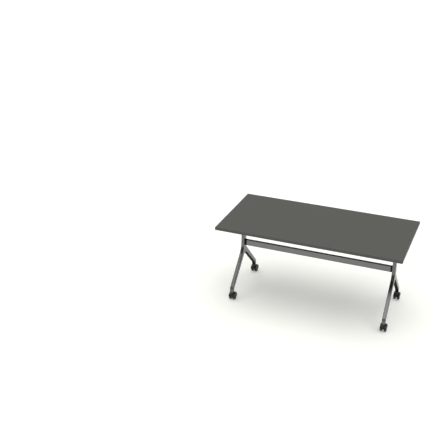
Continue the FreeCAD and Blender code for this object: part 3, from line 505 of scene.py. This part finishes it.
def pedals():
    """Brake pedals with lengthwise ribs on their treads."""
    for corner in CORNERS:
        node = corner + "_brake_pedal"
        low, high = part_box(node)
        thing = node_copy(node)
        middle = (low.x + high.x) / 2.0
        first = middle - (PEDAL_RIBS - 1) * PEDAL_RIB_STEP / 2.0 - PEDAL_RIB_BREADTH / 2.0
        starts = [first + row * PEDAL_RIB_STEP for row in range(PEDAL_RIBS)]
        ribbed(thing, ALONG_X, starts, PEDAL_RIB_BREADTH, PEDAL_RIB_HEIGHT, faces_foot)
        ease(thing, PEDAL_EDGE)
        settle(thing, node)


# Caster wheels

WHEEL_STEPS = 60
WHEEL_EDGE = 0.2 * MM
RIM_BREADTH = 4.0 * MM
LIP_BREADTH = 6.0 * MM
SHOULDER_LENGTH = 2.2 * MM
SHOULDER_DROP = 2.0 * MM
SHOULDER_CURVE = 0.7 * MM
GROOVE_START = 5.4 * MM
GROOVE_END = 6.8 * MM
GROOVE_SLOPE = 0.4 * MM
GROOVE_DEPTH = 0.5 * MM
BACK_INSET = 0.3 * MM
BACK_DISH = 1.6 * MM
BACK_SLOPE = 1.5 * MM
FACE_INSET = 0.4 * MM
DISH_DEPTH = 3.4 * MM
DISH_SLOPE = 1.0 * MM
HUB_RADIUS = 10.0 * MM
HUB_RISE = 1.6 * MM
CAP_SHOULDER = (0.5 * MM, 1.0 * MM)
CAP_CROWN = (0.1 * MM, 4.0 * MM)
WHEEL_POCKETS = 6
POCKET_SHARE = 0.66
POCKET_MARGIN = 0.8 * MM
POCKET_SLOPE = 0.5 * MM
POCKET_DEPTH = 1.4 * MM
AXLE_END_GAP = 0.15 * MM
AXLE_GAP = 0.05 * MM


def wheel_profile(radius, width, bore, bore_depth):
    """Half section of a wheel as (along, radius) corners, from the end of its bore round to its hub cap."""
    rim = radius - RIM_BREADTH
    lip = radius - LIP_BREADTH
    face = width - FACE_INSET
    floor = width - DISH_DEPTH
    back = [
        (bore_depth, 0.0), (bore_depth, bore), (BACK_INSET, bore), (BACK_INSET, HUB_RADIUS),
        (BACK_DISH, HUB_RADIUS + BACK_SLOPE), (BACK_DISH, lip), (0.0, rim),
    ]
    half_tread = [
        (0.0, radius - SHOULDER_DROP), (SHOULDER_CURVE, radius - SHOULDER_CURVE), (SHOULDER_LENGTH, radius),
        (GROOVE_START, radius), (GROOVE_START + GROOVE_SLOPE, radius - GROOVE_DEPTH),
        (GROOVE_END - GROOVE_SLOPE, radius - GROOVE_DEPTH), (GROOVE_END, radius),
    ]
    other_half = [(width - along, reach) for along, reach in reversed(half_tread)]
    front = [
        (width, rim), (face, rim - FACE_INSET), (floor, lip - DISH_SLOPE), (floor, HUB_RADIUS + DISH_SLOPE),
        (floor + HUB_RISE, HUB_RADIUS), (face - CAP_SHOULDER[0], HUB_RADIUS - CAP_SHOULDER[1]),
        (face - CAP_CROWN[0], HUB_RADIUS - CAP_CROWN[1]), (face, 0.0),
    ]
    return back + half_tread + other_half + front


def wheel_model(radius, width, bore, bore_depth):
    """Caster wheel along X from its inner face: grooved tread, rim lip, dish with pockets and a hub cap."""
    thing = turned(wheel_profile(radius, width, bore, bore_depth), WHEEL_STEPS)

    def in_pocket(centre, normal):
        reach = math.hypot(centre.y, centre.z)
        share = (math.atan2(centre.z, centre.y) / FULL_TURN * WHEEL_POCKETS) % 1.0
        on_floor = normal.x > FACING and HUB_RADIUS + DISH_SLOPE < reach < radius - LIP_BREADTH
        return on_floor and share < POCKET_SHARE

    edit(thing)
    pick_faces(thing, in_pocket)
    bpy.ops.mesh.inset(thickness=POCKET_MARGIN)
    bpy.ops.mesh.inset(thickness=POCKET_SLOPE, depth=-POCKET_DEPTH)
    leave_edit()
    clean(thing)
    ease(thing, WHEEL_EDGE, segments=1)
    return thing


def wheels():
    """Two wheels on every caster, hub caps outwards."""
    low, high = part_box("front_left_outer_wheel")
    axle_low, axle_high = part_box("front_left_caster_axle")
    bore = (axle_high.z - axle_low.z) / 2.0 + AXLE_GAP
    bore_depth = high.x - axle_low.x + AXLE_END_GAP
    model = wheel_model((high.z - low.z) / 2.0, high.x - low.x, bore, bore_depth)
    for corner in CORNERS:
        for place in ("inner", "outer"):
            node = "%s_%s_wheel" % (corner, place)
            low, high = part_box(node)
            axle_low, axle_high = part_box(corner + "_caster_axle")
            to_right = low.x + high.x > axle_low.x + axle_high.x
            middle = (low + high) / 2.0
            start = Vector((low.x if to_right else high.x, middle.y, middle.z))
            turn = Matrix.Identity(4) if to_right else Matrix.Rotation(HALF_TURN, 4, "Z")
            settle(placed(model, Matrix.Translation(start) @ turn), node)
    bpy.data.objects.remove(model)


# Fasteners; a dome is drawn in shares of its height and radius, and so are the recesses

SCREW_STEPS = 32
SCREW_HEAD = 3.0 * MM
SCREW_SHANK = 2.2 * MM
SCREW_POINT = 2.0 * SCREW_SHANK
SCREW_EDGE = 0.1 * MM
SCREW_DOME = ((0.0, 1.0), (0.45, 1.0), (0.72, 0.9), (0.92, 0.65), (1.0, 0.3), (1.0, 0.0))
SCREW_TURN_PER_METRE = 7.0
CROSS_REACH = 0.55
CROSS_BREADTH = 0.22
CROSS_DEPTH = 0.55
BOLT_STEPS = 40
BOLT_CHAMFER = 0.5 * MM
BOLT_EDGE = 0.15 * MM
BOLT_SOCKET_RADIUS = 0.55
BOLT_SOCKET_DEPTH = 0.7
BEAM_BOLT_HEAD = 4.0 * MM
BEAM_BOLT_SHANK = 3.0 * MM
HEAD_BOLT_HEAD = 8.0 * MM
HEAD_BOLT_SHANK = 4.0 * MM
PIN_STEPS = 40
PIN_SHANK = 4.0 * MM
PIN_CROWN = 3.0 * MM
PIN_CHAMFER = 0.7 * MM
PIN_EDGE = 0.15 * MM
PIN_DOME = ((0.0, 1.0), (0.4, 1.0), (0.75, 0.88), (0.95, 0.6), (1.0, 0.3), (1.0, 0.0))


def dome(shares, height, radius):
    """Corners of a domed head from its underside up."""
    return [(along * height, reach * radius) for along, reach in shares]


def cross_cutter(reach, breadth, depth, top):
    """Cross for a screw's recess, sunk from a level down."""
    arms = []
    for turn in (0.0, QUARTER_TURN):
        arm = added(bpy.ops.mesh.primitive_cube_add, size=1.0, location=(0.0, 0.0, top),
                    rotation=(0.0, 0.0, turn), scale=(2.0 * reach, breadth, 2.0 * depth))
        arms.append(arm)
    apply_modifier(arms[0], "BOOLEAN", operation="UNION", object=arms[1], solver="EXACT")
    bpy.data.objects.remove(arms[1])
    return arms[0]


def pan_screw(radius, length):
    """Pointed pan-head screw along Z, head up from 0, with a cross recess."""
    shank = [(-length, 0.0), (-length + SCREW_POINT, SCREW_SHANK), (0.0, SCREW_SHANK)]
    thing = turned(shank + dome(SCREW_DOME, SCREW_HEAD, radius), SCREW_STEPS, axis="Z")
    cross = cross_cutter(CROSS_REACH * radius, CROSS_BREADTH * radius, CROSS_DEPTH * SCREW_HEAD, SCREW_HEAD)
    cut_away(thing, cross)
    ease(thing, SCREW_EDGE, segments=1)
    return thing


def socket_bolt(radius, height, shank, length):
    """Bolt along Z, head down from 0, with a hexagon socket in a chamfered flat head."""
    thing = turned([
        (-length, 0.0), (-length, shank), (-height, shank), (-height, radius), (-BOLT_CHAMFER, radius),
        (0.0, radius - BOLT_CHAMFER), (0.0, 0.0),
    ], BOLT_STEPS, axis="Z")
    socket = added(bpy.ops.mesh.primitive_cylinder_add, vertices=6, radius=BOLT_SOCKET_RADIUS * radius,
                   depth=2.0 * BOLT_SOCKET_DEPTH * height)
    cut_away(thing, socket)
    ease(thing, BOLT_EDGE, segments=1)
    return thing


def plate_screws():
    """Screws that hold the tilt plates, heads down, each cross turned by its place along the plate."""
    boxes = solids("plate_screws")
    low, high = boxes[0]
    model = pan_screw((high.x - low.x) / 2.0, high.z - low.z - SCREW_HEAD)
    places = []
    for low, high in boxes:
        middle = (low + high) / 2.0
        seat = Matrix.Translation((middle.x, middle.y, low.z + SCREW_HEAD))
        upside_down = Matrix.Rotation(HALF_TURN, 4, "X")
        turn = Matrix.Rotation(SCREW_TURN_PER_METRE * middle.y, 4, "Z")
        places.append(seat @ upside_down @ turn)
    settle_copies(model, places, "plate_screws")


def beam_bolts():
    """Bolts through the columns, heads flush with the outer faces."""
    boxes = solids("beam_bolts")
    low, high = boxes[0]
    model = socket_bolt((high.z - low.z) / 2.0, BEAM_BOLT_HEAD, BEAM_BOLT_SHANK, high.x - low.x)
    places = []
    for low, high in boxes:
        side = math.copysign(1.0, low.x)
        middle = (low + high) / 2.0
        seat = Matrix.Translation((high.x if side > 0.0 else low.x, middle.y, middle.z))
        places.append(seat @ Matrix.Rotation(side * QUARTER_TURN, 4, "Y"))
    settle_copies(model, places, "beam_bolts")


def head_bolts():
    """Bolts down through the flip heads, heads flush with their tops."""
    boxes = solids("head_bolts")
    low, high = boxes[0]
    model = socket_bolt((high.x - low.x) / 2.0, HEAD_BOLT_HEAD, HEAD_BOLT_SHANK, high.z - low.z)
    places = []
    for low, high in boxes:
        middle = (low + high) / 2.0
        places.append(Matrix.Translation((middle.x, middle.y, high.z)))
    settle_copies(model, places, "head_bolts")


def pivot_pins():
    """Hinge pins with a domed head outside and a chamfered end inside."""
    boxes = solids("pivot_pins")
    low, high = boxes[0]
    end = PIN_CROWN - (high.x - low.x)
    shank = [(end, 0.0), (end, PIN_SHANK - PIN_CHAMFER), (end + PIN_CHAMFER, PIN_SHANK), (0.0, PIN_SHANK)]
    model = turned(shank + dome(PIN_DOME, PIN_CROWN, (high.z - low.z) / 2.0), PIN_STEPS)
    ease(model, PIN_EDGE, segments=1)
    places = []
    for low, high in boxes:
        to_right = low.x > 0.0
        middle = (low + high) / 2.0
        start = high.x - PIN_CROWN if to_right else low.x + PIN_CROWN
        seat = Matrix.Translation((start, middle.y, middle.z))
        places.append(seat if to_right else seat @ Matrix.Rotation(HALF_TURN, 4, "Z"))
    settle_copies(model, places, "pivot_pins")


# Latch springs

SPRING_TURNS = 3
SPRING_STEPS = 40
WIRE_STEPS = 14


def latch_springs():
    """Torsion coils round the release rod, close wound from round wire."""
    for side in SIDES:
        node = side + "_latch_spring"
        low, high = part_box(node)
        wire = (high.x - low.x) / (SPRING_TURNS + 1.0)
        reach = (high.z - low.z) / 2.0 - wire / 2.0
        thing = added(bpy.ops.mesh.primitive_circle_add, vertices=WIRE_STEPS, radius=wire / 2.0,
                      location=(-SPRING_TURNS * wire / 2.0, 0.0, reach), rotation=(QUARTER_TURN, 0.0, 0.0))
        apply_modifier(thing, "SCREW", axis="X", angle=FULL_TURN, screw_offset=wire,
                       iterations=SPRING_TURNS, steps=SPRING_STEPS, render_steps=SPRING_STEPS)
        edit(thing)
        bpy.ops.mesh.select_non_manifold()
        bpy.ops.mesh.edge_face_add()
        leave_edit()
        thing.data.transform(Matrix.Translation((low + high) / 2.0))
        clean(thing)
        ease(thing, 0.0)
        settle(thing, node)


# Floor

FLOOR_SIZE = 120.0
FLOOR_COLOUR = (0.80, 0.80, 0.735, 1.0)
FLOOR_GLOW_COLOUR = (1.0, 1.0, 0.95, 1.0)
FLOOR_GLOW = 0.36


def seen_directly(tree):
    """1 for what the camera sees, straight or by reflection or refraction, else 0."""
    path = tree.nodes.new("ShaderNodeLightPath")
    total = path.outputs["Is Camera Ray"]
    for name in ("Is Glossy Ray", "Is Transmission Ray"):
        larger = tree.nodes.new("ShaderNodeMath")
        larger.operation = "MAXIMUM"
        link(tree, total, larger.inputs[0])
        link(tree, path.outputs[name], larger.inputs[1])
        total = larger.outputs["Value"]
    return total


def white_floor():
    """Pale floor that takes the shadow; seen directly or in a reflection it is lifted to white."""
    material = bpy.data.materials.new("studio_floor")
    material.use_nodes = True
    tree = material.node_tree
    tree.nodes.clear()
    output = tree.nodes.new("ShaderNodeOutputMaterial")
    matt = add_node(tree, "ShaderNodeBsdfDiffuse", Color=FLOOR_COLOUR)
    glow = add_node(tree, "ShaderNodeEmission", Color=FLOOR_GLOW_COLOUR, Strength=FLOOR_GLOW)
    both = tree.nodes.new("ShaderNodeAddShader")
    link(tree, matt.outputs["BSDF"], both.inputs[0])
    link(tree, glow.outputs["Emission"], both.inputs[1])
    choose = tree.nodes.new("ShaderNodeMixShader")
    link(tree, seen_directly(tree), choose.inputs["Fac"])
    link(tree, matt.outputs["BSDF"], choose.inputs[1])
    link(tree, both.outputs["Shader"], choose.inputs[2])
    link(tree, choose.outputs["Shader"], output.inputs["Surface"])
    floor = added(bpy.ops.mesh.primitive_plane_add, size=FLOOR_SIZE)
    floor.name = "floor"
    floor.data.materials.append(material)


# Light; the dome's steps are given by the sine of their elevation, and the lamp's breadth in radians

SKY_STEPS = (
    (0.00, (0.90, 0.90, 0.90)),
    (0.08, (0.60, 0.60, 0.62)),
    (0.17, (0.12, 0.125, 0.14)),
    (0.31, (0.12, 0.125, 0.145)),
    (0.42, (0.26, 0.275, 0.32)),
    (0.60, (0.34, 0.35, 0.38)),
    (0.80, (0.45, 0.46, 0.48)),
    (1.00, (0.90, 0.90, 0.90)),
)
LAMP_STRENGTH = 1.7
LAMP_BREADTH = 1.2
LAMP_WAY = Vector((-0.06, 0.085, -1.0))


def studio_sky():
    """Studio dome: a pale band along the horizon, dim walls above it and a bright ceiling."""
    world = bpy.data.worlds.new("studio")
    bpy.context.scene.world = world
    world.use_nodes = True
    tree = world.node_tree
    tree.nodes.clear()
    output = tree.nodes.new("ShaderNodeOutputWorld")
    coords = tree.nodes.new("ShaderNodeTexCoord").outputs["Generated"]
    split = tree.nodes.new("ShaderNodeSeparateXYZ")
    link(tree, coords, split.inputs["Vector"])
    ramp = tree.nodes.new("ShaderNodeValToRGB")
    steps = ramp.color_ramp.elements
    steps.remove(steps[1])
    for row, (height, colour) in enumerate(SKY_STEPS):
        step = steps[0] if row == 0 else steps.new(height)
        step.position = height
        step.color = (*colour, 1.0)
    link(tree, split.outputs["Z"], ramp.inputs["Fac"])
    dome_light = tree.nodes.new("ShaderNodeBackground")
    link(tree, ramp.outputs["Color"], dome_light.inputs["Color"])
    link(tree, dome_light.outputs["Background"], output.inputs["Surface"])


def overhead_lamp():
    """Broad, even light from far above."""
    lamp = bpy.data.lights.new("overhead", "SUN")
    lamp.energy = LAMP_STRENGTH
    lamp.angle = LAMP_BREADTH
    thing = bpy.data.objects.new("overhead", lamp)
    thing.rotation_mode = "QUATERNION"
    thing.rotation_quaternion = LAMP_WAY.to_track_quat("-Z", "Y")
    bpy.context.scene.collection.objects.link(thing)


# Camera, worked out from the photograph's vanishing lines

CAMERA_PLACE = Vector((1.4966, -5.7248, 3.5041))
CAMERA_LOOK = Vector((-0.35080, 0.83655, -0.42086))
CAMERA_LENS = 64.92
CAMERA_REACH = 200.0
SENSOR = 36.0


def camera():
    """Camera at the photograph's place, angle and field of view; lens and sensor are in millimetres."""
    lens = bpy.data.cameras.new("camera")
    lens.lens = CAMERA_LENS
    lens.sensor_width = SENSOR
    lens.clip_end = CAMERA_REACH
    thing = bpy.data.objects.new("camera", lens)
    thing.rotation_mode = "QUATERNION"
    thing.location = CAMERA_PLACE
    thing.rotation_quaternion = CAMERA_LOOK.to_track_quat("-Z", "Y")
    bpy.context.scene.collection.objects.link(thing)
    bpy.context.scene.camera = thing


eased_pieces()
paddles()
pedals()
wheels()
plate_screws()
beam_bolts()
head_bolts()
latch_springs()
pivot_pins()
white_floor()
studio_sky()
overhead_lamp()
camera()
bpy.context.scene.view_settings.view_transform = "Standard"
